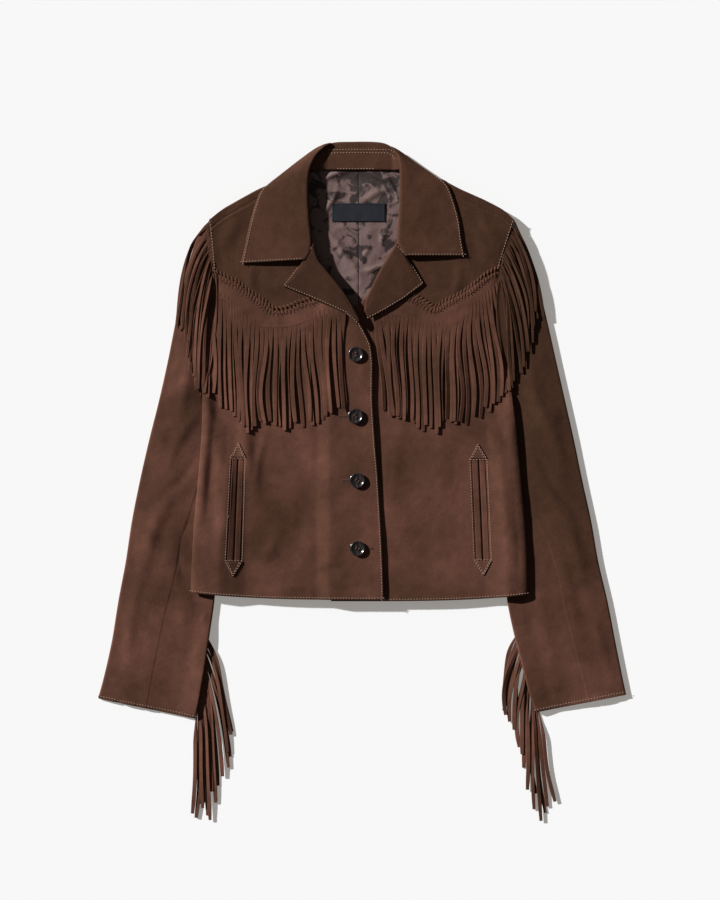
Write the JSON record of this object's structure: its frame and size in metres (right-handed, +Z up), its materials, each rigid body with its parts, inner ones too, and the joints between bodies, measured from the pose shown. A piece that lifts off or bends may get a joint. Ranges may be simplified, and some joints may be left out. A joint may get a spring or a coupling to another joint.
{
  "type": "suede jacket",
  "caption": "Short western jacket of brown suede, buttoned and laid flat, with notched collar, pointed yokes, welt pockets and long fringe.",
  "frame": {"origin": "on the surface that the jacket lies on, below the middle of its bounding box", "axes": "+Y from hem to collar, +X to the viewer's right looking down at the fronts, +Z up"},
  "size_m": [0.67, 0.8508, 0.0187],
  "materials": {
    "suede": "matt napped suede",
    "fringe_suede": "matt napped suede, cut edges",
    "lining": "soft satin",
    "label": "woven, blank",
    "button": "polished"
  },
  "bodies": {
    "root": {"back_lining": "lining", "back_panel": "suede", "button_1": "button", "button_2": "button", "button_3": "button", "button_4": "button", "collar_back": "suede", "collar_leaf_left": "suede", "collar_leaf_right": "suede", "fringe_front_left": "fringe_suede", "fringe_front_right": "fringe_suede", "fringe_shoulder_left": "fringe_suede", "fringe_shoulder_right": "fringe_suede", "fringe_sleeve_left": "fringe_suede", "fringe_sleeve_right": "fringe_suede", "front_left": "suede", "front_right": "suede", "lapel_left": "suede", "lapel_right": "suede", "neck_label": "label", "pocket_left_lip_1": "suede", "pocket_left_lip_2": "suede", "pocket_left_tab_bottom": "suede", "pocket_left_tab_top": "suede", "pocket_right_lip_1": "suede", "pocket_right_lip_2": "suede", "pocket_right_tab_bottom": "suede", "pocket_right_tab_top": "suede", "sleeve_top_left": "suede", "sleeve_top_right": "suede", "sleeve_under_left": "suede", "sleeve_under_right": "suede", "yoke_left": "suede", "yoke_right": "suede"}
  },
  "joints": []
}
